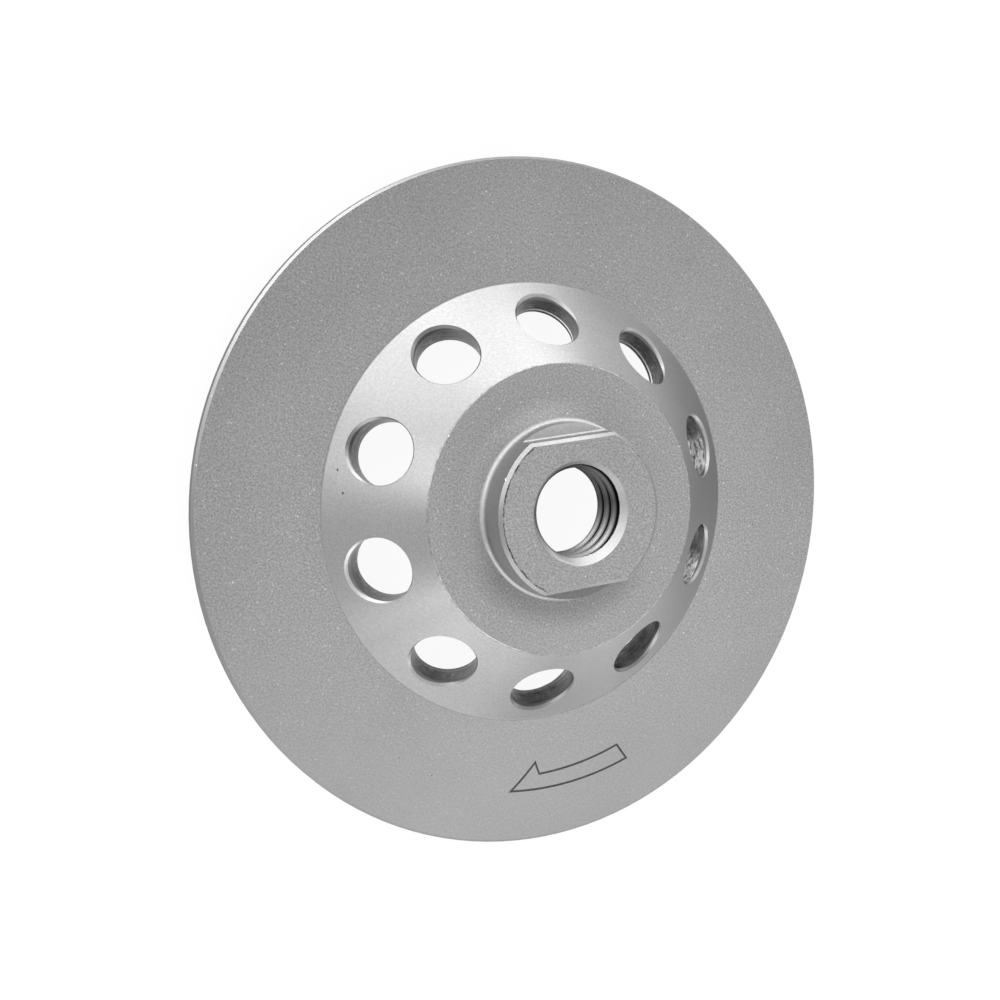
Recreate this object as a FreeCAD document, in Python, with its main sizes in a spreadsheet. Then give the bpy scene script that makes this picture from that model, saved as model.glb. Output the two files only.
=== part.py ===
# Diamond cup wheel for an angle grinder, lying on its diamond segments with the boss up.
# Frame: +Z is the wheel's axis, the origin is on that axis at the segments' working face,
# and +X passes through the middle of one dust hole. Sizes are in millimetres and degrees.

import FreeCAD, Part
import math
import os
import Sketcher

# Driving sizes, each set by itself.
SIZES = {
    # Grinding flange
    "outer_diameter": 110.0,
    "flange_thickness": 2.0,
    "rim_chamfer": 0.4,
    # Cone between the flange and the annular face
    "cone_base_diameter": 70.3,
    "cone_top_diameter": 45.0,
    "cone_height": 12.1,
    "cone_wall": 2.9,
    "cone_root_radius": 0.4,
    "cone_edge_radius": 0.25,
    # Plate under the annular face, seen from inside the cup
    "hub_plate": 3.1,
    "cup_corner_radius": 2.0,
    # Boss with its spanner flats
    "boss_diameter": 27.0,
    "boss_height": 5.8,
    "boss_chamfer": 0.5,
    "boss_root_radius": 0.8,
    "flats_across": 23.0,
    "flats_angle": 24.8,
    "ledge_height": 2.4,
    "ledge_root_radius": 0.35,
    # Tapped centre hole at its crests, with its mouth and its exit into the cup
    "bore_diameter": 13.8,
    "bore_mouth_diameter": 16.0,
    "bore_exit_chamfer": 0.6,
    # Ring of dust holes through the cone
    "hole_count": 10,
    "hole_diameter": 10.2,
    "hole_tilt": 46.3,
    "hole_ring_diameter": 58.2,
    "hole_sink_depth": 0.5,
    # Diamond segments in two rows under the flange
    "segment_height": 5.0,
    "segment_width": 7.5,
    "segment_setback": 1.5,
    "segment_row_gap": 3.0,
    "segments_per_row": 8,
    "segment_spacing": 9.0,
}

# Sizes that follow from the ones above.
DERIVED = {
    "flange_top": "segment_height + flange_thickness",
    "face_level": "flange_top + cone_height",
    "boss_top": "face_level + boss_height",
    "cup_ceiling": "face_level - hub_plate",
    "mouth_depth": "(bore_mouth_diameter - bore_diameter) / 2",
    "cone_run": "(cone_base_diameter - cone_top_diameter) / 2",
    "cone_slant": "sqrt(cone_run ^ 2 + cone_height ^ 2)",
    "level_wall": "cone_wall * cone_slant / cone_height",
    "cup_mouth_radius": "cone_base_diameter / 2 - level_wall + flange_thickness * cone_run / cone_height",
    "cup_ceiling_radius": "cup_mouth_radius - (cup_ceiling - segment_height) * cone_run / cone_height",
    "hole_centre_radius": "hole_ring_diameter / 2",
    "hole_centre_level": "flange_top + (cone_base_diameter - hole_ring_diameter) / 2 * cone_height / cone_run",
    "hole_cut_depth": "2 * cone_wall",
    "hole_cut_top": "2 * hole_sink_depth",
    "segment_pitch": "360 / segments_per_row",
    "segment_arc": "segment_pitch - segment_spacing",
    "outer_row_radius": "outer_diameter / 2 - segment_setback",
    "inner_row_radius": "outer_row_radius - segment_width - segment_row_gap",
}

TOLERANCE = 0.001

doc = FreeCAD.newDocument("cup_wheel")
sheet = doc.addObject("Spreadsheet::Sheet", "sizes")


def in_sheet(expression):
    """Expression with each size's name pointed at the sheet."""
    text = ""
    word = ""
    for letter in expression + " ":
        if letter.isalnum() or letter == "_":
            word += letter
            continue
        if word in SIZES or word in DERIVED:
            word = "sizes." + word
        text += word + letter
        word = ""
    return text.strip()


def fill_sheet():
    """Writes the driving sizes as numbers and the others as formulas, each under its own name."""
    row = 0
    for name, value in SIZES.items():
        row += 1
        sheet.set("A%d" % row, name)
        sheet.set("B%d" % row, str(value))
        sheet.setAlias("B%d" % row, name)
    for name, formula in DERIVED.items():
        row += 1
        sheet.set("A%d" % row, name)
        sheet.set("B%d" % row, "=" + formula)
        sheet.setAlias("B%d" % row, name)
    doc.recompute()


def size(name):
    """Current value of a named size."""
    return float(sheet.get(name))


def bind(thing, path, expression):
    """Ties one property of a document object to the sheet."""
    thing.setExpression(path, in_sheet(expression))


def origin_part(body, role):
    """Plane or axis of a body's own origin."""
    for feature in body.Origin.OriginFeatures:
        if feature.Role == role:
            return feature
    raise RuntimeError("no " + role)


def new_body(name):
    body = doc.addObject("PartDesign::Body", name)
    body.Label = name
    return body


def new_sketch(body, name, plane):
    """Sketch on a plane of the body's origin."""
    sketch = body.newObject("Sketcher::SketchObject", name)
    sketch.AttachmentSupport = [(origin_part(body, plane), "")]
    sketch.MapMode = "FlatFace"
    return sketch


def closed_profile(sketch, corners):
    """Polygon whose corners are pairs of expressions; its sides are added in order."""
    count = len(corners)
    turn = 2 * math.pi / count
    rough = [FreeCAD.Vector(math.cos(turn * i), math.sin(turn * i), 0) for i in range(count)]
    first = sketch.GeometryCount
    for i in range(count):
        sketch.addGeometry(Part.LineSegment(rough[i], rough[(i + 1) % count]), False)
    for i in range(count):
        sketch.addConstraint(Sketcher.Constraint("Coincident", first + i, 2, first + (i + 1) % count, 1))
    for i, place in enumerate(corners):
        for kind, expression in zip(("DistanceX", "DistanceY"), place):
            index = sketch.addConstraint(Sketcher.Constraint(kind, -1, 1, first + i, 1, 1.0))
            bind(sketch, "Constraints[%d]" % index, expression)


def revolve(body, name, sketch):
    """Full turn of a sketch about the body's Z axis."""
    turned = body.newObject("PartDesign::Revolution", name)
    turned.Profile = sketch
    turned.ReferenceAxis = (origin_part(body, "Z_Axis"), [""])
    turned.Angle = 360
    doc.recompute()
    return turned


def dress(body, kind, name, base, edges, value):
    """Fillet or chamfer on named edges of the last feature."""
    feature = body.newObject("PartDesign::" + kind, name)
    feature.Base = (base, edges)
    bind(feature, "Radius" if kind == "Fillet" else "Size", value)
    doc.recompute()
    return feature


def edge_ends(edge):
    """Points at the start, inside and at the end of an edge."""
    first, last = edge.ParameterRange
    return [edge.valueAt(first + share * (last - first)) for share in (0, 0.3, 0.7, 1)]


def edges_where(feature, test):
    """Names of the edges all of whose points pass a test."""
    edges = enumerate(feature.Shape.Edges, 1)
    return ["Edge%d" % number for number, edge in edges if all(test(point) for point in edge_ends(edge))]


def ring_edges(feature, radius, level):
    """Names of the edges on the circle of this radius about the axis at this level."""
    def on_ring(point):
        level_error = abs(point.z - level)
        radius_error = abs(math.hypot(point.x, point.y) - radius)
        return level_error < TOLERANCE and radius_error < TOLERANCE
    return edges_where(feature, on_ring)


def turned_blank(body):
    """Flange, cone, plate and boss as one half section turned about the axis."""
    sketch = new_sketch(body, "half_section", "XZ_Plane")
    bore = "bore_diameter / 2"
    corners = [
        (bore, "cup_ceiling + bore_exit_chamfer"),
        (bore, "boss_top - mouth_depth"),
        ("bore_mouth_diameter / 2", "boss_top"),
        ("boss_diameter / 2", "boss_top"),
        ("boss_diameter / 2", "face_level"),
        ("cone_top_diameter / 2", "face_level"),
        ("cone_base_diameter / 2", "flange_top"),
        ("outer_diameter / 2", "flange_top"),
        ("outer_diameter / 2", "segment_height"),
        ("cup_mouth_radius", "segment_height"),
        ("cup_ceiling_radius", "cup_ceiling"),
        (bore + " + bore_exit_chamfer", "cup_ceiling"),
    ]
    closed_profile(sketch, corners)
    return revolve(body, "blank", sketch)


def turned_edges(body, blank):
    """Chamfered rim and the radii that the turning tool leaves at each corner."""
    rim = size("outer_diameter") / 2
    rim_edges = ring_edges(blank, rim, size("flange_top")) + ring_edges(blank, rim, size("segment_height"))
    last = dress(body, "Chamfer", "rim", blank, rim_edges, "rim_chamfer")
    corners = [
        ("cone_root", "cone_base_diameter", "flange_top", "cone_root_radius"),
        ("cone_edge", "cone_top_diameter", "face_level", "cone_edge_radius"),
        ("boss_root", "boss_diameter", "face_level", "boss_root_radius"),
    ]
    for name, diameter, level, radius in corners:
        edges = ring_edges(last, size(diameter) / 2, size(level))
        last = dress(body, "Fillet", name, last, edges, radius)
    cup_edges = ring_edges(last, size("cup_ceiling_radius"), size("cup_ceiling"))
    return dress(body, "Fillet", "cup_corner", last, cup_edges, "cup_corner_radius")


def spanner_flats(body, turned):
    """Two parallel flats milled down the boss to a ledge, with a rounded root and a chamfered top edge."""
    sketch = new_sketch(body, "flats_outline", "XY_Plane")
    bind(sketch, "AttachmentOffset", "placement(vector(0; 0; boss_top); rotation(vector(0; 0; 1); flats_angle))")
    near = "flats_across / 2"
    for side in ("", "-"):
        corners = [
            ("-boss_diameter", side + near),
            ("boss_diameter", side + near),
            ("boss_diameter", side + "boss_diameter"),
            ("-boss_diameter", side + "boss_diameter"),
        ]
        closed_profile(sketch, corners)
    milled = body.newObject("PartDesign::Pocket", "flats")
    milled.Profile = sketch
    bind(milled, "Length", "boss_height - ledge_height")
    doc.recompute()

    turn = FreeCAD.Rotation(FreeCAD.Vector(0, 0, 1), -size("flats_angle"))
    ledge = size("face_level") + size("ledge_height")

    def on_root(point):
        straight = turn.multVec(point)
        return abs(point.z - ledge) < TOLERANCE and abs(abs(straight.y) - size("flats_across") / 2) < TOLERANCE

    def on_top_edge(point):
        level_error = abs(point.z - size("boss_top"))
        return level_error < TOLERANCE and math.hypot(point.x, point.y) > size("bore_mouth_diameter") / 2 + TOLERANCE

    rooted = dress(body, "Fillet", "ledge_root", milled, edges_where(milled, on_root), "ledge_root_radius")
    return dress(body, "Chamfer", "boss_edge", rooted, edges_where(rooted, on_top_edge), "boss_chamfer")


def dust_holes(body):
    """Holes drilled into the cone, each with a countersink that is wider on the side towards the rim."""
    sketch = new_sketch(body, "hole_section", "XZ_Plane")
    # The sketch's own X runs out along the drill, from the middle of the hole's mouth.
    place = "placement(vector(hole_centre_radius; hole_centre_level; 0); rotation(vector(0; 0; 1); 90 - hole_tilt))"
    bind(sketch, "AttachmentOffset", place)
    radius = "hole_diameter / 2"
    corners = [
        ("-hole_cut_depth", "0"),
        ("-hole_cut_depth", radius),
        ("-hole_sink_depth", radius),
        ("hole_cut_top", radius + " + hole_sink_depth + hole_cut_top"),
        ("hole_cut_top", "0"),
    ]
    closed_profile(sketch, corners)
    hole = body.newObject("PartDesign::Groove", "hole")
    hole.Profile = sketch
    hole.ReferenceAxis = (sketch, ["H_Axis"])
    hole.Angle = 360
    doc.recompute()
    ring = body.newObject("PartDesign::PolarPattern", "hole_ring")
    ring.Originals = [hole]
    ring.Axis = (origin_part(body, "Z_Axis"), [""])
    ring.Angle = 360
    bind(ring, "Occurrences", "hole_count")
    body.Tip = ring
    doc.recompute()
    return ring


def wheel_body():
    """The steel body, turned and milled from one piece."""
    body = new_body("wheel_body")
    blank = turned_blank(body)
    turned = turned_edges(body, blank)
    milled = spanner_flats(body, turned)
    drilled = dust_holes(body)
    if not drilled.Shape.Volume < milled.Shape.Volume < turned.Shape.Volume:
        raise RuntimeError("a cut removed nothing")
    return body


def segment(name, outer_radius, turn):
    """One sintered diamond segment, a block bent to its row and turned to its place."""
    body = new_body(name)
    sketch = new_sketch(body, "section", "XZ_Plane")
    inner = outer_radius + " - segment_width"
    closed_profile(sketch, [
        (inner, "0"),
        (outer_radius, "0"),
        (outer_radius, "segment_height"),
        (inner, "segment_height"),
    ])
    block = revolve(body, "block", sketch)
    bind(block, "Angle", "segment_arc")
    block.Midplane = True
    bind(body, "Placement", "placement(vector(0; 0; 0); rotation(vector(0; 0; 1); %s))" % turn)
    return body


def segment_rows():
    """Two rows of segments, the inner one half a pitch round from the outer one."""
    rows = (("outer", "outer_row_radius", 0.0), ("inner", "inner_row_radius", 0.5))
    made = []
    for row, radius, shift in rows:
        for i in range(int(size("segments_per_row"))):
            turn = "segment_pitch * %.1f" % (i + shift)
            made.append(segment("segment_%s_%02d" % (row, i + 1), radius, turn))
    return made


def check(parts):
    """Stops if any object failed or any piece is not one sound solid."""
    doc.recompute()
    for thing in doc.Objects:
        if "Invalid" in thing.State or "Error" in thing.State:
            raise RuntimeError("%s failed" % thing.Name)
    for part in parts:
        if part.Shape.isNull() or not part.Shape.isValid() or len(part.Shape.Solids) != 1:
            raise RuntimeError("%s is not one sound solid" % part.Label)


fill_sheet()
parts = [wheel_body()] + segment_rows()
check(parts)
os.makedirs("parts", exist_ok=True)
for part in parts:
    part.Shape.exportStep("parts/%s.step" % part.Label)
    box = part.Shape.BoundBox
    print("%s volume %.1f, z %.2f to %.2f" % (part.Label, part.Shape.Volume, box.ZMin, box.ZMax))
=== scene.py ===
# Diamond cup wheel lying on its segments with the boss up, on a plain white table.
# Metres; +Z is the wheel's axis and +X passes through the middle of one dust hole.
import bpy
import bmesh
import math
import random
from mathutils import Matrix, Vector, noise


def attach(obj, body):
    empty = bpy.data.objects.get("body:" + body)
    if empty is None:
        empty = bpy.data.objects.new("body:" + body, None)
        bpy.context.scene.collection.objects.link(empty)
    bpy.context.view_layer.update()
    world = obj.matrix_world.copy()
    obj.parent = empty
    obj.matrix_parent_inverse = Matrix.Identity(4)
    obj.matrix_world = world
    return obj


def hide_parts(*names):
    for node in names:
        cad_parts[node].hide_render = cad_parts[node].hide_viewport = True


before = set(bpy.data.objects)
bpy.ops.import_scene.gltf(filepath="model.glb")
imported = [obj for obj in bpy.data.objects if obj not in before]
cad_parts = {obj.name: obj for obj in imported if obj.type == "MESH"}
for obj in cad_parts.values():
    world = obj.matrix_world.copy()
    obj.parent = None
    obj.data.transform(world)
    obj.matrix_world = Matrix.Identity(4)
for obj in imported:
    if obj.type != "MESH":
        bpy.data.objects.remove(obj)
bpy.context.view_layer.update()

MM = 0.001

# Levels and radii of the steel body, in millimetres, as its solid has them.
FLANGE_UNDER = 5.0
FLANGE_TOP = 7.0
RIM_RADIUS = 55.0
CONE_BASE_RADIUS = 35.15
CONE_TOP_RADIUS = 22.5
CONE_WALL = 2.9
FACE_LEVEL = 19.1
CUP_CEILING = 16.0
BOSS_TOP = 24.9
BOSS_RADIUS = 13.5
BOSS_CHAMFER = 0.5
BORE_RADIUS = 6.9
MOUTH_RADIUS = 8.0
BORE_EXIT_CHAMFER = 0.6
HOLE_COUNT = 10
HOLE_STEP = 360.0 / HOLE_COUNT
HOLE_RADIUS = 5.1
HOLE_TILT = math.radians(46.3)
HOLE_RING_RADIUS = 29.1
CONE_RUN = CONE_BASE_RADIUS - CONE_TOP_RADIUS
CONE_RISE = FACE_LEVEL - FLANGE_TOP
CONE_LEAN = math.atan2(CONE_RISE, CONE_RUN)

# Unified thread of the grinder spindle, cut into the bore.
THREAD_PITCH = 25.4 / 11
THREAD_ROOT_RADIUS = 7.9
THREAD_CREST_RADIUS = 6.75
# Shares of half a pitch that the flat crest and the flank take.
THREAD_CREST_SHARE = 0.16
THREAD_FLANK_SHARE = 0.74
THREAD_AROUND = 160
THREAD_UP = 190

# Two rows of segments: inner radius, outer radius and the angle of the first one's middle.
SEGMENT_ROWS = {"outer": (46.0, 53.5, 0.0), "inner": (35.5, 43.0, 22.5)}
SEGMENT_COUNT = 8
SEGMENT_HALF_ANGLE = 18.0
SEGMENT_EDGE = 0.45
SEGMENT_STEPS = (64, 16, 10)

# Braze fillet: steps along the segment's long and short sides, and its profile as the distance
# out of the segment and below the flange.
BRAZE_LONG_STEPS = 48
BRAZE_SHORT_STEPS = 8
BRAZE_PROFILE = ((0.0, 0.62), (0.05, 0.36), (0.14, 0.20), (0.30, 0.08), (0.46, 0.0))
BRAZE_OVERLAP = 0.06

# Burr collar of a dust hole inside the cup: distance out of the hole's wall and along its axis.
COLLAR_PROFILE = ((0.0, 0.25), (0.0, -0.34), (0.10, -0.40), (0.24, -0.32), (0.42, 0.1))
COLLAR_AROUND = 96
# Height of the last hole's collar as a multiple of the others', to close the view through it.
LAST_COLLAR_HEIGHT = 1.6
# A hole's exit into the cup is looked for this far down its axis, in this many halvings.
EXIT_SEARCH_DEPTH = 8.0
EXIT_SEARCH_STEPS = 40

# Vertices of the solid's mesh closer than this, in metres, are one.
MERGE_DISTANCE = 2e-6
SMOOTH_ANGLE = math.radians(28)


# Materials.

class Shader:
    """A node material that is built up call by call."""

    def __init__(self, name):
        self.material = bpy.data.materials.new(name)
        self.material.use_nodes = True
        self.nodes = self.material.node_tree.nodes
        self.links = self.material.node_tree.links
        self.nodes.clear()
        self.output = self.nodes.new("ShaderNodeOutputMaterial")
        self.surface = self.nodes.new("ShaderNodeBsdfPrincipled")
        self.links.new(self.surface.outputs[0], self.output.inputs[0])
        self.place = self.nodes.new("ShaderNodeTexCoord").outputs["Object"]

    def add(self, kind, inputs=(), **settings):
        node = self.nodes.new("ShaderNode" + kind)
        for key, value in settings.items():
            setattr(node, key, value)
        for key, value in dict(inputs).items():
            self.feed(node.inputs[key], value)
        return node

    def feed(self, socket, value):
        if isinstance(value, bpy.types.NodeSocket):
            self.links.new(value, socket)
        else:
            socket.default_value = value

    def set(self, **inputs):
        for name, value in inputs.items():
            self.feed(self.surface.inputs[name.replace("_", " ")], value)

    def math(self, operation, a, b=0.0, c=0.0):
        return self.add("Math", {0: a, 1: b, 2: c}, operation=operation).outputs[0]

    def plus(self, *values):
        total = values[0]
        for value in values[1:]:
            total = self.math("ADD", total, value)
        return total

    def times(self, *values):
        total = values[0]
        for value in values[1:]:
            total = self.math("MULTIPLY", total, value)
        return total

    def remap(self, value, low, high, to_low, to_high):
        node = self.add("MapRange", {0: value, 1: low, 2: high, 3: to_low, 4: to_high})
        return node.outputs[0]

    def rest(self, value):
        """What a value leaves of one."""
        return self.math("SUBTRACT", 1.0, value)

    def where(self, mask, factor):
        """The factor where the mask is one, and one where the mask is nothing."""
        return self.remap(mask, 0.0, 1.0, 1.0, factor)

    def band(self, value, low, high, soft):
        """One between two values, with soft edges, and nothing outside."""
        rise = self.remap(value, low - soft, low + soft, 0.0, 1.0)
        fall = self.remap(value, high - soft, high + soft, 1.0, 0.0)
        return self.times(rise, fall)

    def noise(self, scale, detail=2.0, rough=0.5, place=None):
        node = self.add("TexNoise", {"Vector": place or self.place, "Scale": scale})
        self.feed(node.inputs["Detail"], detail)
        self.feed(node.inputs["Roughness"], rough)
        return node.outputs["Fac"]

    def cells(self, scale, place=None):
        """Distance from the nearest cell's middle, in cells, and the cell's own random number."""
        node = self.add("TexVoronoi", {"Vector": place or self.place, "Scale": scale})
        number = self.add("SeparateColor", {0: node.outputs["Color"]}).outputs[0]
        return node.outputs["Distance"], number

    def mix(self, share, a, b):
        node = self.add("Mix", data_type="RGBA")
        self.feed(node.inputs["Factor"], share)
        self.feed(node.inputs["A"], a)
        self.feed(node.inputs["B"], b)
        return node.outputs["Result"]

    def grey(self, value):
        return self.add("CombineColor", {0: value, 1: value, 2: value}).outputs[0]

    def vector(self, x, y, z):
        return self.add("CombineXYZ", {0: x, 1: y, 2: z}).outputs[0]

    def bump(self, height, strength, distance):
        inputs = {"Height": height, "Strength": strength, "Distance": distance}
        return self.add("Bump", inputs).outputs[0]

    def along(self, direction):
        """How far the surface lies in a direction, in metres times the direction's length."""
        inputs = {0: self.place, 1: direction}
        return self.add("VectorMath", inputs, operation="DOT_PRODUCT").outputs["Value"]

    def polar(self):
        """Radius about the wheel's axis, angle in degrees and height, in millimetres."""
        x, y, z = self.add("SeparateXYZ", {0: self.place}).outputs
        radius = self.math("SQRT", self.plus(self.times(x, x), self.times(y, y)))
        angle = self.math("DEGREES", self.math("ARCTAN2", y, x))
        return self.times(radius, 1000.0), angle, self.times(z, 1000.0)

    def below_cone(self, radius, height):
        """Depth under the cone's outer surface, in millimetres."""
        out = self.times(self.plus(radius, -CONE_BASE_RADIUS), math.sin(CONE_LEAN))
        up = self.times(self.plus(height, -FLANGE_TOP), math.cos(CONE_LEAN))
        return self.times(self.plus(out, up), -1.0)


def grain(s, tone, coarse, depth, cloud_depth, calm=1.0):
    """Base tone with fine grain, less of it where calm is low, and slow cloudy variation."""
    fine = s.noise(coarse, 2.0, 0.6)
    cloud = s.noise(60, 3.0, 0.5)
    speck = s.times(s.remap(fine, 0.25, 0.75, -depth, depth), calm)
    drift = s.remap(cloud, 0.3, 0.7, 1 - cloud_depth, 1 + cloud_depth)
    return s.times(s.plus(speck, 1.0), tone, drift), fine, cloud


def glints(s, scale, share, size, gain):
    """Scattered small painted glints, as a factor on the tone."""
    distance, number = s.cells(scale)
    near = s.remap(distance, size * 0.4, size, 1.0, 0.0)
    chosen = s.remap(number, 1.0 - share, 1.0, 0.0, 1.0)
    return s.math("MULTIPLY_ADD", s.times(near, chosen), gain, 1.0)


def face_steel():
    """Flat faces: blasted satin steel, sparse painted glints, painted light and shade, burr line
    and painted shade on the boss.
    """
    s = Shader("face_steel")
    calm = s.remap(s.along(CALM_WAY), 0.012, 0.045, 1.0, 0.35)
    value, fine, cloud = grain(s, FACE_TONE, 3300, 0.36, 0.02, calm)
    value = s.times(value, glints(s, 2600, 0.07, 0.45, s.times(calm, 0.85)))
    # Painted light: the flat faces get brighter along one direction.
    value = s.times(value, s.plus(s.along(PAINTED_LIGHT_SLOPE), 1.0))
    radius, angle, height = s.polar()
    around = s.math("FLOORED_MODULO", angle, 360.0)
    # Dark line round the boss's top edge, partly burr and partly painted shade: ragged on the left,
    # thin on the right.
    ragged = s.times(s.plus(s.noise(1300, 3.0, 0.7), -0.5), 0.7)
    line = s.band(s.plus(radius, ragged), BOSS_TOP_EDGE - 0.24, BOSS_TOP_EDGE - 0.03, 0.06)
    line = s.times(line, s.remap(s.noise(620, 2.0, 0.6), 0.40, 0.56, 0.15, 1.0))
    thin = s.band(radius, BOSS_TOP_EDGE - 0.10, BOSS_TOP_EDGE + 0.1, 0.03)
    on_boss = s.math("GREATER_THAN", height, BOSS_TOP - 0.1)
    left = s.band(around, 130.0, 262.0, 12.0)
    right = s.rest(s.band(around, 62.0, 318.0, 10.0))
    burr_and_shade_line = s.math("MAXIMUM", s.times(line, left), s.times(thin, right, 0.6))
    value = s.times(value, s.rest(s.times(burr_and_shade_line, on_boss, 0.85)))
    on_plate = s.band(height, FACE_LEVEL - 0.2, FACE_LEVEL + 0.2, 0.05)
    # Painted shadow of the boss on the plate, from 232 to 338 degrees about the axis.
    shade = s.times(s.band(around, 232.0, 338.0, 9.0), s.remap(radius, 15.6, 19.0, 0.26, 0.0))
    value = s.times(value, s.rest(s.times(shade, on_plate)))
    # Painted light on the plate beside the boss, from 100 to 205 degrees about the axis.
    blend = s.times(s.band(around, 100.0, 205.0, 18.0), s.remap(radius, 14.4, 18.0, 0.42, 0.0))
    value = s.times(value, s.plus(s.times(blend, on_plate), 1.0))
    # Painted shading: the flange gets darker from the cone towards the rim.
    value = s.times(value, s.remap(radius, 36.0, 55.0, 1.04, 0.93))
    s.set(Base_Color=s.grey(value), Metallic=1.0, Roughness=s.remap(cloud, 0.3, 0.7, 0.43, 0.48))
    s.set(Normal=s.bump(fine, 0.18, 0.00003))
    return s.material


def turned_steel(name, tone, rough, depth, lines_depth, edge_depth=0.0, groove_shade=0.0, painted_shading=()):
    """Turned surfaces: smooth satin steel with very fine turning lines along the circumference.

    Depths are shares of the tone: of the grain, of the turning lines, of the dark dots on the
    cone's upper edge and of the painted shade in the thread's grooves. The painted shading is
    a list of spans of angles, each with its softness and a factor on the tone there, that
    paints light or shade on one side of the wheel.
    """
    s = Shader(name)
    value, fine, cloud = grain(s, tone, 3000, depth, 0.012)
    radius, angle, height = s.polar()
    place = s.vector(s.plus(radius, s.times(height, 1.7)), s.times(angle, 0.004), 0.0)
    lines = s.noise(3.2, 2.0, 0.6, place)
    value = s.times(value, s.remap(lines, 0.3, 0.7, 1 - lines_depth, 1 + lines_depth))
    around = s.plus(s.math("FLOORED_MODULO", s.plus(angle, 90.0), 360.0), -90.0)
    # Painted light and shade on some sides of the wheel, by angle about its axis.
    for start, end, soft, factor in painted_shading:
        value = s.times(value, s.where(s.band(around, start, end, soft), factor))
    if edge_depth:
        dots = s.remap(s.noise(1400, 1.0, 0.5), 0.45, 0.62, 0.1, 1.0)
        edge = s.band(radius, CONE_TOP_RADIUS - 0.3, CONE_TOP_RADIUS + 0.22, 0.08)
        value = s.math("MULTIPLY_ADD", s.times(edge, dots, value), -edge_depth, value)
    # Painted shade: the thread's grooves get darker towards their roots.
    if groove_shade:
        groove = s.remap(radius, BORE_RADIUS + 0.18, BORE_RADIUS + 0.42, 1.0, 1.0 - groove_shade)
        value = s.times(value, groove)
    s.set(Base_Color=s.grey(value), Metallic=1.0)
    s.set(Roughness=s.remap(cloud, 0.3, 0.7, rough - 0.02, rough + 0.02))
    s.set(Normal=s.bump(s.math("MULTIPLY_ADD", lines, 0.6, fine), 0.07, 0.00003))
    return s.material


def drilled_steel():
    """Drilled walls: dark and streaked, painted light on torn marks in the right holes, painted
    exit highlight and shade.
    """
    s = Shader("drilled_steel")
    radius, angle, height = s.polar()
    depth = s.below_cone(radius, height)
    streak = s.noise(1.0, 3.0, 0.65, s.vector(s.times(depth, 5.5), s.times(angle, 0.22), 0.0))
    chatter = s.noise(1100, 3.0, 0.7)
    value = s.remap(streak, 0.3, 0.72, DRILLED_TONE * 0.55, DRILLED_TONE * 1.6)
    marks = s.remap(chatter, 0.52, 0.62, 0.0, 1.0)
    marks = s.times(marks, s.remap(depth, 0.8, 2.0, 0.15, 1.0))
    value = s.math("MULTIPLY_ADD", marks, DRILLED_TONE * 0.5, value)
    # Degrees to the side of the hole's own middle.
    beside = s.math("FLOORED_MODULO", s.plus(angle, HOLE_STEP / 2), HOLE_STEP)
    beside = s.plus(beside, -HOLE_STEP / 2)
    # Torn marks on one side of the two right holes, brightened by painted light.
    lit_torn_marks = s.times(s.band(angle, -11.0, 38.0, 1.0), s.band(beside, -8.2, -0.5, 2.6))
    waves = s.times(s.noise(1.0, 2.0, 0.5, s.vector(s.times(angle, 0.9), 0.0, 5.0)), 1.6)
    place = s.vector(s.times(angle, 0.5), s.plus(s.times(depth, 2.3), waves), 0.0)
    tears = s.remap(s.noise(1.0, 2.0, 0.6, place), 0.38, 0.62, 0.05, 1.0)
    value = s.math("MULTIPLY_ADD", s.times(lit_torn_marks, tears), 1.5, value)
    # Painted highlight line at the drill's exit with painted shade just below it, strongest on one
    # side of the holes at 72 and 108 degrees.
    right_side = s.remap(beside, -2.0, 3.0, 1.0, 0.1)
    exit_light_side = s.remap(s.times(s.band(angle, 56.0, 112.0, 5.0), right_side), 0.0, 1.0, 0.10, 1.0)
    shine = s.times(s.band(depth, EXIT_SHINE_DEPTH - 0.14, EXIT_SHINE_DEPTH + 0.12, 0.05), exit_light_side)
    exit_shade = s.times(s.band(depth, EXIT_SHINE_DEPTH + 0.16, EXIT_SHINE_DEPTH + 0.36, 0.05), exit_light_side)
    value = s.math("MULTIPLY_ADD", shine, 0.85, value)
    value = s.times(value, s.rest(s.times(exit_shade, 0.95)))
    s.set(Base_Color=s.grey(value), Metallic=1.0, Roughness=s.remap(streak, 0.3, 0.7, 0.30, 0.45))
    s.set(Normal=s.bump(s.math("MULTIPLY_ADD", chatter, 0.7, streak), 0.55, 0.00006))
    return s.material


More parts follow.
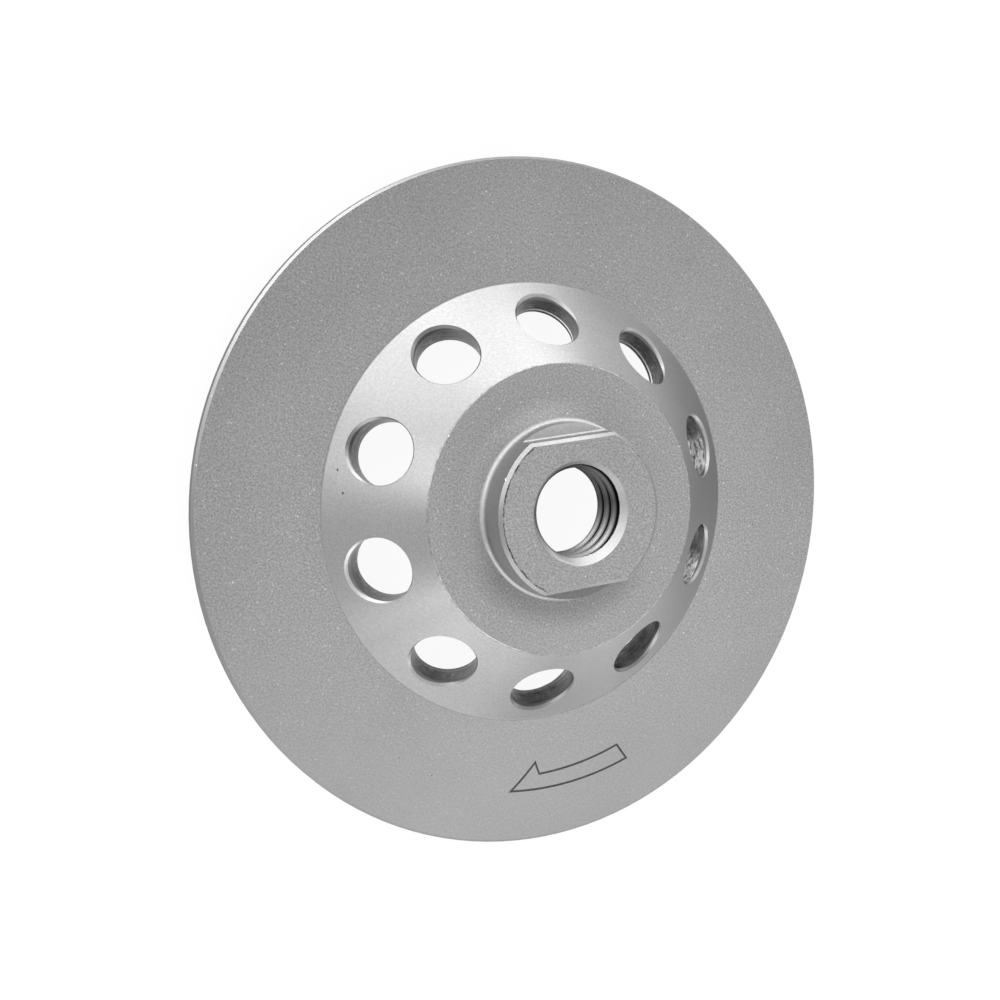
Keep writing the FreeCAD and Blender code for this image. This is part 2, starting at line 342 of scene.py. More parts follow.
def countersunk_steel():
    """Countersink around a dust hole: streaked by the cutter, with painted light and shade by angle
    and a dark edge towards the hole.
    """
    s = Shader("countersunk_steel")
    radius, angle, height = s.polar()
    depth = s.below_cone(radius, height)
    streak = s.noise(1.0, 3.0, 0.65, s.vector(s.times(depth, 9.0), s.times(angle, 0.20), 0.0))
    speck = s.noise(2200, 2.0, 0.6)
    value = s.remap(streak, 0.3, 0.7, 0.28, 0.42)
    value = s.times(value, s.remap(speck, 0.3, 0.7, 0.93, 1.07))
    around = s.math("FLOORED_MODULO", angle, 360.0)
    # Painted shade from 116 to 182 degrees about the axis, painted light from 183 to 240 and
    # painted shade from 262 to 345.
    shaded = s.band(around, 116.0, 182.0, 2.0)
    shaded = s.times(shaded, s.remap(streak, 0.35, 0.65, 0.35, 0.60))
    value = s.times(value, s.rest(shaded))
    value = s.times(value, s.where(s.band(around, 183.0, 240.0, 2.0), 1.4))
    value = s.times(value, s.where(s.band(around, 262.0, 345.0, 8.0), 0.55))
    value = s.times(value, s.remap(depth, 0.34, 0.46, 1.0, 0.35))
    s.set(Base_Color=s.grey(value), Metallic=1.0, Roughness=s.remap(streak, 0.3, 0.7, 0.36, 0.46))
    s.set(Normal=s.bump(s.plus(streak, speck), 0.15, 0.00004))
    return s.material


def segment_material():
    """Sintered metal bond with diamond grit."""
    s = Shader("diamond_segment")
    distance, number = s.cells(1700)
    diamond = s.remap(distance, 0.18, 0.42, 1.0, 0.0)
    diamond = s.times(diamond, s.math("GREATER_THAN", number, 0.72))
    rust = s.noise(420, 4.0, 0.6)
    pores = s.noise(2600, 2.0, 0.6)
    bond = s.mix(s.remap(rust, 0.35, 0.7, 0.0, 1.0), BOND_GREY, BOND_BROWN)
    bond = s.mix(s.remap(pores, 0.55, 0.75, 0.0, 0.75), bond, BOND_PORE)
    colour = s.mix(diamond, bond, DIAMOND_YELLOW)
    s.set(Base_Color=colour, Metallic=0.5, Roughness=s.remap(rust, 0.3, 0.7, 0.5, 0.72))
    relief = s.plus(s.times(diamond, 0.8), s.times(pores, -0.6), rust)
    s.set(Normal=s.bump(relief, 0.75, 0.00009))
    return s.material


def braze_material():
    """Silver braze that has flowed out of the joint under the flange."""
    s = Shader("silver_braze")
    flow = s.noise(500, 3.0, 0.6)
    tint = s.mix(s.remap(flow, 0.35, 0.7, 0.0, 1.0), BRAZE_YELLOW, BRAZE_GREY)
    s.set(Base_Color=tint, Metallic=1.0, Roughness=s.remap(flow, 0.3, 0.7, 0.28, 0.5))
    s.set(Normal=s.bump(flow, 0.5, 0.00012))
    return s.material


def ink_material():
    """Black marking ink, slightly patchy."""
    s = Shader("marking_ink")
    patch = s.noise(1800, 3.0, 0.6)
    s.set(Base_Color=s.grey(s.remap(patch, 0.3, 0.8, 0.010, 0.045)))
    s.set(Roughness=s.remap(patch, 0.3, 0.7, 0.5, 0.7))
    return s.material


def dirt_material():
    """Dull dark dirt."""
    s = Shader("dark_speck")
    patch = s.noise(3000, 3.0, 0.6)
    s.set(Base_Color=s.grey(s.remap(patch, 0.3, 0.8, 0.02, 0.08)))
    s.set(Roughness=s.remap(patch, 0.3, 0.7, 0.6, 0.85))
    return s.material


def burr_material():
    """Freshly broken metal of tiny burrs, brighter than the satin steel around it."""
    s = Shader("bright_burr")
    patch = s.noise(3000, 3.0, 0.6)
    s.set(Base_Color=s.grey(s.remap(patch, 0.3, 0.7, 0.62, 0.86)), Metallic=0.6)
    s.set(Roughness=s.remap(patch, 0.3, 0.7, 0.3, 0.5))
    return s.material


BOND_GREY = (0.115, 0.108, 0.100, 1)
BOND_BROWN = (0.215, 0.190, 0.160, 1)
BOND_PORE = (0.045, 0.042, 0.040, 1)
DIAMOND_YELLOW = (0.52, 0.50, 0.33, 1)
BRAZE_YELLOW = (0.52, 0.44, 0.30, 1)
BRAZE_GREY = (0.40, 0.36, 0.29, 1)

# Base tones of bare steel.
FACE_TONE = 0.310
CONE_TONE = 0.300
# The drilled walls are half as bright as the faces as painted shade in the holes.
DRILLED_TONE = 0.155
# Depth under the cone, in millimetres, of the painted highlight line where the drill came out.
EXIT_SHINE_DEPTH = 2.75
# Radius at which the boss's top face meets its chamfer.
BOSS_TOP_EDGE = BOSS_RADIUS - BOSS_CHAMFER
# Painted light across the flat faces, a slow brightening one way: direction and slope per metre.
PAINTED_LIGHT_SLOPE = (1.7, -2.2, 0.0)
# Direction in which the grain gets finer and fainter.
CALM_WAY = (0.26, -0.97, 0.0)

# Spans of angles of painted light and shade: start, end, softness and factor on the tone.
# Angles run from -90 to 270 degrees, so a span that crosses their seam is given in two
# halves, each open towards it.
OPEN_START = -200.0
OPEN_END = 400.0
FILLET_PAINTED_SHADING = ((200.0, OPEN_END, 15.0, 0.62), (OPEN_START, -45.0, 15.0, 0.62))
LEDGE_PAINTED_SHADING = ((225.0, OPEN_END, 5.0, 0.42), (OPEN_START, -25.0, 5.0, 0.42))
RIM_PAINTED_SHADING = ((132.0, 186.0, 10.0, 1.6),)
CONE_PAINTED_SHADING = (
    (-60.0, -14.0, 12.0, 1.42),
    (226.0, 246.0, 10.0, 0.80),
    (4.0, 34.0, 10.0, 0.84),
    (56.0, 96.0, 14.0, 1.10),
)
CHAMFER_PAINTED_SHADING = ((184.0, OPEN_END, 10.0, 0.72), (OPEN_START, -60.0, 10.0, 0.72))
MOUTH_PAINTED_SHADING = ((40.0, 165.0, 25.0, 0.62), (-60.0, -15.0, 22.0, 1.4))
THREAD_PAINTED_SHADING = ((8.0, 150.0, 22.0, 0.22), (-55.0, -18.0, 24.0, 1.9))

# Finishes of the body, in the order of its material slots.
MATERIALS = {
    "face": face_steel(),
    "cone": turned_steel("cone_steel", CONE_TONE, 0.33, 0.13, 0.015, 0.28, painted_shading=CONE_PAINTED_SHADING),
    "rim": turned_steel("rim_steel", 0.24, 0.40, 0.06, 0.03, painted_shading=RIM_PAINTED_SHADING),
    # The rim's wall has a darker tone than the rim's chamfer as painted shade.
    "rim_wall": turned_steel("rim_wall_steel", 0.14, 0.42, 0.06, 0.04),
    "wall": turned_steel("wall_steel", 0.31, 0.50, 0.08, 0.05),
    "fillet": turned_steel("fillet_steel", 0.42, 0.50, 0.06, 0.03, painted_shading=FILLET_PAINTED_SHADING),
    "foot": turned_steel("foot_steel", 0.22, 0.50, 0.06, 0.03),
    "chamfer": turned_steel("chamfer_steel", 0.33, 0.42, 0.09, 0.05, painted_shading=CHAMFER_PAINTED_SHADING),
    "drilled": drilled_steel(),
    "sink": countersunk_steel(),
    "ledge": turned_steel("ledge_steel", 0.45, 0.48, 0.14, 0.03, painted_shading=LEDGE_PAINTED_SHADING),
    "mouth": turned_steel("mouth_steel", 0.36, 0.50, 0.07, 0.05, painted_shading=MOUTH_PAINTED_SHADING),
    "thread": turned_steel("thread_steel", 0.24, 0.42, 0.06, 0.03, 0.0, 0.97, THREAD_PAINTED_SHADING),
    "cup": turned_steel("cup_steel", 0.25, 0.42, 0.09, 0.06),
}
ORDER = list(MATERIALS)


# Steel body.

def hole_axis(index):
    """Middle of a dust hole's mouth and the direction out of it."""
    turn = 2 * math.pi * index / HOLE_COUNT
    level = FLANGE_TOP + (CONE_BASE_RADIUS - HOLE_RING_RADIUS) * CONE_RISE / CONE_RUN
    out = Vector((math.cos(turn), math.sin(turn), 0))
    centre = out * HOLE_RING_RADIUS + Vector((0, 0, level))
    return centre, out * math.sin(HOLE_TILT) + Vector((0, 0, math.cos(HOLE_TILT)))


def ring_point(radius, turn, level):
    """Point at a radius, an angle in radians and a level."""
    return Vector((radius * math.cos(turn), radius * math.sin(turn), level))


HOLES = [hole_axis(index) for index in range(HOLE_COUNT)]


def nearest_hole(point):
    """Distance from the nearest dust hole's axis, the step away from it and its direction."""
    best = None
    for centre, out in HOLES:
        step = point - centre
        away = step - out * step.dot(out)
        if best is None or away.length < best[0]:
            best = (away.length, away, out)
    return best


def below_cone(point):
    """Depth of a point under the cone's outer surface."""
    radius = math.hypot(point.x, point.y)
    out = (radius - CONE_BASE_RADIUS) * math.sin(CONE_LEAN)
    return -out - (point.z - FLANGE_TOP) * math.cos(CONE_LEAN)


def surface_kind(face):
    """Which finish a face of the body has, by where it lies and which way it faces."""
    points = [vert.co / MM for vert in face.verts]
    middle = sum(points, Vector()) / len(points)
    normal = face.normal
    radius = math.hypot(middle.x, middle.y)
    if max(math.hypot(p.x, p.y) for p in points) < MOUTH_RADIUS + 0.01:
        return "bore"
    distance, away, axis = nearest_hole(middle)
    depth = below_cone(middle)
    in_hole = distance < HOLE_RADIUS + 2.5 and -0.3 < depth < CONE_WALL + 0.1
    if in_hole and abs(normal.dot(axis)) < 0.15 and distance < HOLE_RADIUS + 0.05:
        return "drilled"
    if in_hole and 0.55 < normal.dot(axis) < 0.85 and normal.dot(away) < 0:
        return "sink"
    if normal.z > 0.99 and FACE_LEVEL + 0.5 < middle.z < BOSS_TOP - 0.5:
        return "ledge"
    if normal.z > 0.99 and middle.z > FLANGE_TOP - 0.1:
        return "face"
    in_cup = depth > CONE_WALL - 0.3 and middle.z < CUP_CEILING + 0.1 and normal.z < 0.2
    if (normal.z < -0.2 or in_cup) and radius < RIM_RADIUS - 0.3:
        return "cup"
    if radius > RIM_RADIUS - 1.0:
        return "rim" if normal.z > 0.3 else "rim_wall"
    if normal.z > 0.05 and radius < BOSS_RADIUS + 1.0:
        return "chamfer" if middle.z > BOSS_TOP - BOSS_CHAMFER - 0.05 else "fillet"
    if normal.z > 0.05 and middle.z < FLANGE_TOP + 0.5:
        return "foot"
    return "cone" if normal.z > 0.2 else "wall"


def thread_radius(angle, level):
    """Radius of the threaded bore at an angle and a level, run out into its two countersinks."""
    turn = (level / THREAD_PITCH - angle / (2 * math.pi)) % 1.0
    flank = abs(turn - 0.5) * 2
    groove = min(max((flank - THREAD_CREST_SHARE) / THREAD_FLANK_SHARE, 0.0), 1.0)
    radius = THREAD_CREST_RADIUS + (THREAD_ROOT_RADIUS - THREAD_CREST_RADIUS) * groove
    mouth = MOUTH_RADIUS - (BOSS_TOP - level)
    exit_edge = BORE_RADIUS + BORE_EXIT_CHAMFER
    radius = min(radius, exit_edge + (level - CUP_CEILING))
    return max(radius, mouth, exit_edge - (level - CUP_CEILING))


def add_thread(bm):
    """Threaded wall between the boss's top face and the cup's ceiling."""
    rows = []
    for j in range(THREAD_UP + 1):
        level = CUP_CEILING + (BOSS_TOP - CUP_CEILING) * j / THREAD_UP
        row = []
        for i in range(THREAD_AROUND):
            angle = 2 * math.pi * i / THREAD_AROUND
            place = ring_point(thread_radius(angle, level), angle, level)
            row.append(bm.verts.new(place * MM))
        rows.append(row)
    for low, high in zip(rows, rows[1:]):
        for i in range(THREAD_AROUND):
            k = (i + 1) % THREAD_AROUND
            face = bm.faces.new((low[i], high[i], high[k], low[k]))
            level = face.calc_center_median().z / MM
            mouth = level > BOSS_TOP - (MOUTH_RADIUS - BORE_RADIUS)
            face.material_index = ORDER.index("mouth" if mouth else "thread")
            face.smooth = True


def true_normal(kind, place, normal, face_normal):
    """Normal of the true surface at a corner of the mesh, by the finish that its face has."""
    if kind in ("drilled", "sink"):
        away, axis = nearest_hole(place)[1:]
        if kind == "drilled":
            return -away.normalized()
        return (axis - away.normalized()).normalized()
    if kind in ("face", "ledge"):
        return Vector((0, 0, 1))
    if kind in ("cone", "cup", "rim", "rim_wall", "foot"):
        out = Vector((place.x, place.y, 0)).normalized()
        flat = Vector((normal.dot(out), normal.z)).normalized()
        on_cone = kind == "cone" and abs(below_cone(place)) < 0.03
        if on_cone and abs(face_normal.z - math.cos(CONE_LEAN)) < 0.02:
            flat = Vector((math.sin(CONE_LEAN), math.cos(CONE_LEAN)))
        return out * flat.x + Vector((0, 0, flat.y))
    return normal


def set_true_normals(mesh):
    """Shades the solid's facets as the round surfaces that they stand for."""
    corners = [Vector(corner.vector) for corner in mesh.corner_normals]
    normals = []
    for face in mesh.polygons:
        kind = ORDER[face.material_index]
        for loop in face.loop_indices:
            place = mesh.vertices[mesh.loops[loop].vertex_index].co / MM
            normals.append(true_normal(kind, place, corners[loop], face.normal))
    mesh.normals_split_custom_set(normals)


def add_piece(name, mesh, replaced=None):
    """Puts a finished mesh into the scene as a piece that rides on the wheel."""
    piece = bpy.data.objects.new(name, mesh)
    bpy.context.scene.collection.objects.link(piece)
    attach(piece, "root")
    if replaced:
        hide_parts(replaced)
    return piece


def steel_body():
    """The wheel's body with its cut thread, each surface in its own finish."""
    bm = bmesh.new()
    bm.from_mesh(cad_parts["wheel_body"].data)
    bmesh.ops.remove_doubles(bm, verts=bm.verts, dist=MERGE_DISTANCE)
    bm.normal_update()
    bore = []
    for face in bm.faces:
        kind = surface_kind(face)
        if kind == "bore":
            bore.append(face)
        else:
            face.material_index = ORDER.index(kind)
        face.smooth = True
    bmesh.ops.delete(bm, geom=bore, context="FACES")
    add_thread(bm)
    for edge in bm.edges:
        edge.smooth = len(edge.link_faces) == 2 and edge.calc_face_angle(0) < SMOOTH_ANGLE
    mesh = bpy.data.meshes.new("threaded_body")
    bm.to_mesh(mesh)
    bm.free()
    for kind in ORDER:
        mesh.materials.append(MATERIALS[kind])
    set_true_normals(mesh)
    add_piece("threaded_body", mesh, "wheel_body")


def exit_level(centre, axis, radial):
    """Position along a hole's axis where its wall comes out of the cup's inner face."""
    near, far = 0.0, -EXIT_SEARCH_DEPTH
    for _ in range(EXIT_SEARCH_STEPS):
        middle = (near + far) / 2
        if below_cone(centre + radial + axis * middle) < CONE_WALL:
            near = middle
        else:
            far = middle
    return near


def exit_collars():
    """Low collars of metal that the drill pushed out around the holes inside the cup."""
    rng = random.Random(11)
    bm = bmesh.new()
    for index, (centre, axis) in enumerate(HOLES):
        height = LAST_COLLAR_HEIGHT if index == HOLE_COUNT - 1 else 1.0
        side = axis.cross(Vector((0, 0, 1))).normalized()
        other = axis.cross(side)
        rows = []
        for n in range(COLLAR_AROUND):
            turn = 2 * math.pi * n / COLLAR_AROUND
            radial = side * math.cos(turn) + other * math.sin(turn)
            start = exit_level(centre, axis, radial * HOLE_RADIUS)
            uneven = 0.10 * noise.noise(centre + radial * 2.4)
            swell = height * (1 + uneven + rng.uniform(-0.03, 0.03))
            row = []
            for out, along in COLLAR_PROFILE:
                reach = start + along * (swell if along < 0 else 1)
                place = centre + radial * (HOLE_RADIUS + out) + axis * reach
                row.append(bm.verts.new(place * MM))
            rows.append(row)
        for n in range(COLLAR_AROUND):
            after = rows[(n + 1) % COLLAR_AROUND]
            for p in range(len(COLLAR_PROFILE) - 1):
                face = bm.faces.new((rows[n][p], rows[n][p + 1], after[p + 1], after[p]))
                face.material_index = 0 if p == 0 else 1
                face.smooth = True
    bmesh.ops.recalc_face_normals(bm, faces=bm.faces)
    mesh = bpy.data.meshes.new("exit_collars")
    bm.to_mesh(mesh)
    bm.free()
    mesh.materials.append(MATERIALS["drilled"])
    mesh.materials.append(MATERIALS["cup"])
    add_piece("exit_collars", mesh)


# Diamond segments.

def segment_piece(name, row, index, shades):
    """One segment: a curved bar with worn edges and pits, and its braze fillet under the flange."""
    inner, outer, first = SEGMENT_ROWS[row]
    middle = (inner + outer) / 2
    turn = first + index * 360.0 / SEGMENT_COUNT
    half_length = math.radians(SEGMENT_HALF_ANGLE) * middle
    half = Vector((half_length, (outer - inner) / 2, FLANGE_UNDER / 2))
    bm = bmesh.new()
    steps = SEGMENT_STEPS
    seen = {}

    def corner(i, j, k):
        """Vertex at a step along, across and up the bar."""
        key = (i, j, k)
        if key not in seen:
            unit = Vector((2 * i / steps[0] - 1, 2 * j / steps[1] - 1, 2 * k / steps[2] - 1))
            box = Vector(unit[n] * half[n] for n in range(3))
            inset = Vector(half[n] - SEGMENT_EDGE for n in range(3))
            core = Vector(max(-inset[n], min(inset[n], box[n])) for n in range(3))
            core.z = max(box.z, -half.z + SEGMENT_EDGE) if box.z < 0 else box.z
            away = box - core
            place = core + away.normalized() * SEGMENT_EDGE if away.length > 1e-6 else box
            spot = Vector((place.x + index * 40, place.y + middle, place.z))
            wear = 0.5 + 0.5 * noise.noise(spot * 0.9)
            pits = max(0.0, noise.noise(spot * 2.6) - 0.18)
            inward = 0.05 * wear + 0.28 * pits
            if k < steps[2]:
                scale = Vector(1 - inward / half[n] for n in range(3))
                lower = place.z * scale.z if place.z < 0 else place.z
                place = Vector((place.x * scale.x, place.y * scale.y, lower))
            if k == steps[2]:
                place.z = half.z
            angle = math.radians(turn) + place.x / middle
            point = ring_point(middle + place.y, angle, max(place.z + half.z, 0.0))
            seen[key] = bm.verts.new(point * MM)
        return seen[key]

    def sheet(axis, side):
        """One of the bar's six sides."""
        a, b = [n for n in range(3) if n != axis]
        for p in range(steps[a]):
            for q in range(steps[b]):
                ring = []
                for da, db in ((0, 0), (1, 0), (1, 1), (0, 1)):
                    key = [0, 0, 0]
                    key[a], key[b], key[axis] = p + da, q + db, side * steps[axis]
                    ring.append(corner(*key))
                bm.faces.new(ring)

    for axis in range(3):
        for side in (0, 1):
            sheet(axis, side)
    bmesh.ops.recalc_face_normals(bm, faces=bm.faces)
    for face in bm.faces:
        face.smooth = True
    add_braze(bm, half, middle, turn)
    mesh = bpy.data.meshes.new(name)
    bm.to_mesh(mesh)
    bm.free()
    for shade in shades:
        mesh.materials.append(shade)
    add_piece(name + "_bar", mesh, name)


def add_braze(bm, half, middle, turn):
    """Concave fillet of braze around the segment's root."""
    rng = random.Random(int(turn * 10) + int(middle))
    long_steps, short_steps = BRAZE_LONG_STEPS, BRAZE_SHORT_STEPS
    # Points of the segment's outline, each with the direction out of the segment.
    outline = []
    for n in range(long_steps + 1):
        outline.append((-half.x + 2 * half.x * n / long_steps, half.y, 0, 1))
    for n in range(short_steps + 1):
        outline.append((half.x, half.y - 2 * half.y * n / short_steps, 1, 0))
    for n in range(long_steps + 1):
        outline.append((half.x - 2 * half.x * n / long_steps, -half.y, 0, -1))
    for n in range(short_steps + 1):
        outline.append((-half.x, -half.y + 2 * half.y * n / short_steps, -1, 0))
    rows = []
    for x, y, nx, ny in outline:
        swell = rng.uniform(0.8, 1.0)
        row = []
        for out, drop in BRAZE_PROFILE:
            radius = middle + y + (ny * out - ny * BRAZE_OVERLAP) * swell
            shift = (nx * out - nx * BRAZE_OVERLAP) * swell
            angle = math.radians(turn) + (x + shift) / middle
            place = ring_point(radius, angle, FLANGE_UNDER - drop * swell)
            row.append(bm.verts.new(place * MM))
        rows.append(row)
    faces = []
    for n, row in enumerate(rows):
        after = rows[(n + 1) % len(rows)]
        for p in range(len(BRAZE_PROFILE) - 1):
            faces.append(bm.faces.new((row[p], row[p + 1], after[p + 1], after[p])))
    bmesh.ops.recalc_face_normals(bm, faces=faces)
    if sum(face.normal.z for face in faces) > 0:
        bmesh.ops.reverse_faces(bm, faces=faces)
    for face in faces:
        face.material_index = 1
        face.smooth = True


def segments():
    """All segments, and plain finishes for the solids that the pieces stand in for."""
    shades = (segment_material(), braze_material())
    for row in SEGMENT_ROWS:
        for index in range(SEGMENT_COUNT):
            name = "segment_%s_%02d" % (row, index + 1)
            segment_piece(name, row, index, shades)
            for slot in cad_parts[name].material_slots:
                slot.material = shades[0]
    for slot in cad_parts["wheel_body"].material_slots:
        slot.material = MATERIALS["cone"]


# Direction arrow, burrs and specks.

def at(radius, degrees, level=FLANGE_TOP):
    return ring_point(radius, math.radians(degrees), level)


def arc(start, end, steps):
    """Points between two (radius, degrees) ends, without the last one."""
    points = []
    for i in range(steps):
        t = i / steps
        radius = start[0] + (end[0] - start[0]) * t
        points.append(at(radius, start[1] + (end[1] - start[1]) * t, ARROW_LEVEL))
    return points


ARROW_LEVEL = FLANGE_TOP + 0.012
ARROW_LINE = 0.34
# Corners of the outlined arrow: radius in millimetres and angle in degrees.
ARROW_TIP = (46.80, 284.61)
ARROW_BARB = (42.43, 290.08)
ARROW_NOTCH = (44.39, 290.96)
ARROW_INNER_END = (44.03, 309.98)
ARROW_OUTER_END = (46.92, 310.93)
# Sides of its outline: start, end and number of steps.
ARROW_SIDES = (
    (ARROW_TIP, ARROW_BARB, 4),
    (ARROW_BARB, ARROW_NOTCH, 2),
    (ARROW_NOTCH, ARROW_INNER_END, 24),
    (ARROW_INNER_END, ARROW_OUTER_END, 2),
    (ARROW_OUTER_END, ARROW_TIP, 32),
)


def direction_arrow():
    """Outlined curved arrow printed on the flange."""
    corners = []
    for start, end, steps in ARROW_SIDES:
        corners += arc(start, end, steps)
    bm = bmesh.new()
    count = len(corners)
    edges = []
    for i, here in enumerate(corners):
        before = (here - corners[i - 1]).normalized()
        after = (corners[(i + 1) % count] - here).normalized()
        side = Vector((-before.y - after.y, before.x + after.x, 0)).normalized()
        reach = ARROW_LINE / 2 / max(0.3, side.dot(Vector((-after.y, after.x, 0))))
        edges.append([bm.verts.new((here + side * reach * sign) * MM) for sign in (1, -1)])
    for i in range(count):
        k = (i + 1) % count
        bm.faces.new((edges[i][0], edges[i][1], edges[k][1], edges[k][0]))
    mesh = bpy.data.meshes.new("direction_arrow")
    bm.normal_update()
    for face in bm.faces:
        if face.normal.z < 0:
            face.normal_flip()
    bm.to_mesh(mesh)
    bm.free()
    mesh.materials.append(ink_material())
    add_piece("direction_arrow", mesh)


def blobs(name, material, spots):
    """Tiny irregular lumps; each spot has a place, a radius in millimetres and a flatness."""
    rng = random.Random(7)
    bm = bmesh.new()
    for place, size, flat in spots:
        made = bmesh.ops.create_icosphere(bm, subdivisions=2, radius=size * MM)
        turn = Matrix.Rotation(rng.uniform(0, 6.28), 3, "Z")
        for vert in made["verts"]:
            vert.co *= rng.uniform(0.8, 1.15)
            vert.co = turn @ Vector((vert.co.x * 1.25, vert.co.y * 0.85, vert.co.z * flat))
            vert.co += place * MM
    for face in bm.faces:
        face.smooth = True
    mesh = bpy.data.meshes.new(name)
    bm.to_mesh(mesh)
    bm.free()
    mesh.materials.append(material)
    add_piece(name, mesh)


def burrs_and_specks():
    """Bright burrs on sharp edges and dark specks on the faces, where the photo shows them."""
    bright = [
        (at(BOSS_RADIUS - 0.03, 174.5, BOSS_TOP - 0.46), 0.20, 1.0),
        (at(22.5, 167.0, FACE_LEVEL - 0.05), 0.13, 0.8),
        (at(54.70, 172.2, FLANGE_TOP - 0.12), 0.11, 0.8),
        (at(54.70, 179.7, FLANGE_TOP - 0.12), 0.10, 0.8),
        (at(54.70, 190.6, FLANGE_TOP - 0.12), 0.11, 0.8),
    ]
    rng = random.Random(3)
    for n in range(9):
        place = at(22.45, -30 + n * 9 + rng.uniform(-3, 3), FACE_LEVEL - 0.05)
        bright.append((place, rng.uniform(0.07, 0.11), 0.7))
    dark = [
        (at(33.55, 187.68, 8.57), 0.20, 0.5),
        (at(32.58, 193.45, 9.50), 0.17, 0.5),
        (at(54.7, 76.5, FLANGE_TOP - 0.2), 0.16, 0.6),
    ]
    for n in range(14):
        radius, turn = rng.uniform(38, 53), rng.uniform(0, 360)
        place = at(radius, turn, FLANGE_TOP - 0.02)
        dark.append((place, rng.uniform(0.07, 0.12), 0.4))
    blobs("edge_burrs", burr_material(), bright)
    blobs("dark_specks", dirt_material(), dark)


# Floor, light and camera.

FLOOR_SIZE = 3.0
# Share of plain white in what the camera, reflections and refractions see of the floor.
FLOOR_GLOW = 0.93


def floor():
    """Matt white table that looks plain white and still takes the wheel's shadow."""
    bpy.ops.mesh.primitive_plane_add(size=FLOOR_SIZE)
    plane = bpy.context.object
    plane.name = "floor"
    s = Shader("table")
    speckle = s.noise(900, 2.0, 0.5)
    s.set(Base_Color=s.grey(s.remap(speckle, 0.3, 0.7, 0.78, 0.82)), Roughness=0.9)
    path = s.add("LightPath").outputs
    seen = s.math("MAXIMUM", path["Is Glossy Ray"], path["Is Transmission Ray"])
    seen = s.math("MAXIMUM", path["Is Camera Ray"], seen)
    white = s.add("Emission", {"Color": (1, 1, 1, 1), "Strength": 1.0})
    blend = s.add("MixShader")
    s.feed(blend.inputs[0], s.times(seen, FLOOR_GLOW))
    s.links.new(s.surface.outputs[0], blend.inputs[1])
    s.links.new(white.outputs[0], blend.inputs[2])
    s.links.new(blend.outputs[0], s.output.inputs[0])
    plane.data.materials.append(s.material)


def sky():
    """Even white light from all round."""
    world = bpy.data.worlds.new("studio")
    bpy.context.scene.world = world
    world.use_nodes = True
    nodes, links = world.node_tree.nodes, world.node_tree.links
    nodes.clear()
    output = nodes.new("ShaderNodeOutputWorld")
    white = nodes.new("ShaderNodeBackground")
    white.inputs[0].default_value = (1, 1, 1, 1)
    white.inputs[1].default_value = 1.0
    links.new(white.outputs[0], output.inputs[0])


def soft_light(name, turn, height, size, power):
    """Rectangular area light that faces the wheel from an angle about it and an angle of height."""
    lamp = bpy.data.lights.new(name, "AREA")
    lamp.shape = "RECTANGLE"
    lamp.size, lamp.size_y = size
    lamp.energy = power
    holder = bpy.data.objects.new(name, lamp)
    bpy.context.scene.collection.objects.link(holder)
    turn, height = math.radians(turn), math.radians(height)
    level = math.cos(height)
    out = Vector((math.cos(turn) * level, math.sin(turn) * level, math.sin(height)))
    holder.location = LIGHT_TARGET + out * LIGHT_DISTANCE
    holder.rotation_mode = "QUATERNION"
    holder.rotation_quaternion = out.to_track_quat("Z", "Y")


LIGHT_TARGET = Vector((0, 0, 0.012))
LIGHT_DISTANCE = 0.6
# Width and height of the panels, in metres.
LOW_PANEL = (0.30, 0.16)
HIGH_PANEL = (0.28, 0.22)
WIDE_PANEL = (0.60, 0.42)
LONG_PANEL = (1.00, 0.16)


def lights():
    """Panels of a light tent: low ones all round and a few higher ones."""
    soft_light("low_back", 90, 12, LOW_PANEL, 0.67)
    soft_light("low_back_left", 120, 12, LOW_PANEL, 0.58)
    soft_light("low_left", 150, 12, LOW_PANEL, 0.54)
    soft_light("low_right", 330, 12, LONG_PANEL, 0.60)
    soft_light("high_left", 180, 34, HIGH_PANEL, 0.63)
    soft_light("high_front", 272, 34, WIDE_PANEL, 2.3)
    soft_light("high_back", 60, 34, HIGH_PANEL, 0.50)
    soft_light("high_back_left", 138, 44, HIGH_PANEL, 0.45)
    soft_light("low_back_right", 60, 12, LOW_PANEL, 0.22)
    soft_light("low_far_right", 0, 12, LONG_PANEL, 0.20)
    soft_light("low_front", 300, 12, LONG_PANEL, 0.38)


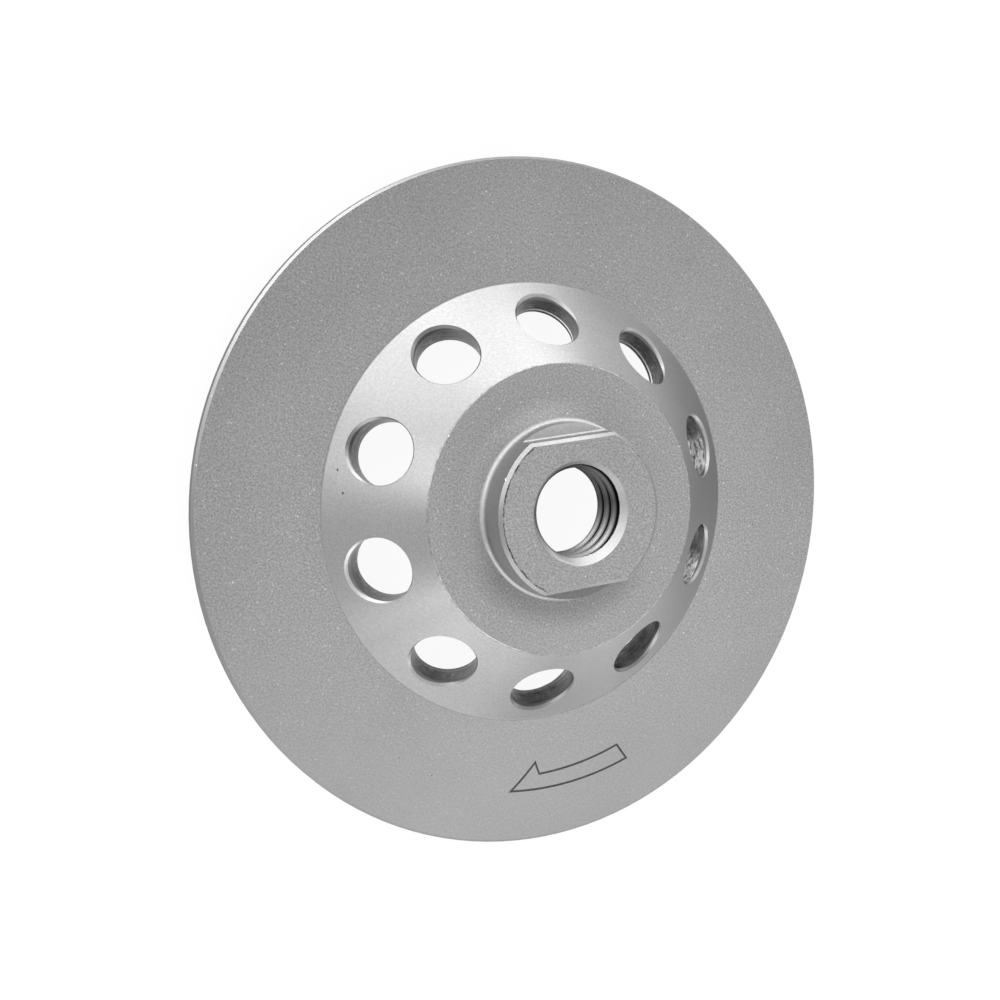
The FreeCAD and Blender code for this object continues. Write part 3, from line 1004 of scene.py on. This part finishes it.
# The photograph's camera, found from the outlines of the flange, the cone and the boss.
# Its focal length and centre are in pixels, other lengths in flange radii, and the camera's
# own axes are right, down and forward.
IMAGE_SIZE = 1000
SENSOR_WIDTH = 36.0
CAMERA_FOCAL = 1651.76
CAMERA_CENTRE = (500.0, 420.04)
CAMERA_TILT = 0.4297
CAMERA_AZIMUTH = 0.1235
FLANGE_CENTRE = Vector((0.0877, 0.2387, 4.8135))
HOLE_PHASE = math.radians(79.0)


def camera():
    """The photograph's camera in the wheel's frame."""
    tilt, turn = CAMERA_TILT, CAMERA_AZIMUTH
    axis = ring_point(math.sin(tilt), turn, -math.cos(tilt))
    first = Vector((-math.sin(turn), math.cos(turn), 0))
    second = axis.cross(first)
    wheel_x = first * math.cos(HOLE_PHASE) + second * math.sin(HOLE_PHASE)
    wheel_y = axis.cross(wheel_x)
    # The rows are the wheel's axes as the camera has them, so this turns a vector of the
    # camera's into the wheel's frame.
    to_wheel = Matrix((wheel_x, wheel_y, axis))
    place = to_wheel @ -FLANGE_CENTRE * RIM_RADIUS + Vector((0, 0, FLANGE_TOP))
    right = to_wheel @ Vector((1, 0, 0))
    up = to_wheel @ Vector((0, -1, 0))
    back = to_wheel @ Vector((0, 0, -1))
    data = bpy.data.cameras.new("camera")
    data.sensor_width = SENSOR_WIDTH
    data.lens = CAMERA_FOCAL / IMAGE_SIZE * SENSOR_WIDTH
    data.shift_x = (IMAGE_SIZE / 2 - CAMERA_CENTRE[0]) / IMAGE_SIZE
    data.shift_y = (CAMERA_CENTRE[1] - IMAGE_SIZE / 2) / IMAGE_SIZE
    data.clip_start, data.clip_end = 0.01, 10.0
    holder = bpy.data.objects.new("camera", data)
    bpy.context.scene.collection.objects.link(holder)
    turned = Matrix((right, up, back)).transposed().to_4x4()
    holder.matrix_world = Matrix.Translation(place * MM) @ turned
    bpy.context.scene.camera = holder


steel_body()
exit_collars()
segments()
direction_arrow()
burrs_and_specks()
floor()
sky()
lights()
camera()

bpy.context.scene.view_settings.view_transform = "Standard"
